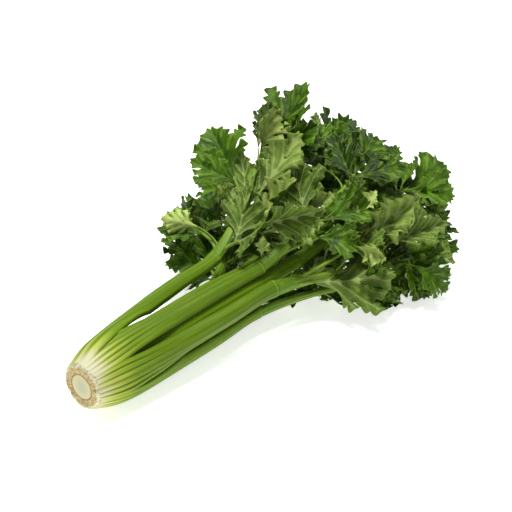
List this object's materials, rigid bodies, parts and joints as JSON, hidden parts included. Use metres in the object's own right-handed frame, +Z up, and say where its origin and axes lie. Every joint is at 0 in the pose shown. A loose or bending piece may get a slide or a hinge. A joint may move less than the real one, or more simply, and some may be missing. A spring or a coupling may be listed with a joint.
{
  "type": "head of celery",
  "caption": "Head of celery lying on its side: ribbed stalks from a flat-cut crown, pale at the base, splayed above, each with a frond of toothed leaflets.",
  "frame": {"origin": "on the table, under the middle of the head's outline seen from above", "axes": "+X from the cut root end to the leaf tips, +Y to the left of that, +Z up from the table"},
  "size_m": [0.5762, 0.3494, 0.2093],
  "materials": {
    "crown_flesh": "matt, moist cut flesh",
    "stalk_skin": "satin, waxy ribbed skin",
    "leaf": "satin leaf"
  },
  "bodies": {
    "root": {"crown": "crown_flesh", "stalk_outer_1": "stalk_skin", "stalk_outer_2": "stalk_skin", "stalk_outer_3": "stalk_skin", "stalk_outer_4": "stalk_skin", "stalk_outer_5": "stalk_skin", "stalk_outer_6": "stalk_skin", "stalk_inner_1": "stalk_skin", "stalk_inner_2": "stalk_skin", "stalk_inner_3": "stalk_skin", "stalk_inner_4": "stalk_skin", "stalk_heart_1": "stalk_skin", "stalk_heart_2": "stalk_skin", "frond_outer_1": "leaf", "frond_outer_2": "leaf", "frond_outer_3": "leaf", "frond_outer_4": "leaf", "frond_outer_5": "leaf", "frond_outer_6": "leaf", "frond_inner_1": "leaf", "frond_inner_2": "leaf", "frond_inner_3": "leaf", "frond_inner_4": "leaf", "frond_heart_1": "leaf", "frond_heart_2": "leaf"}
  },
  "joints": []
}
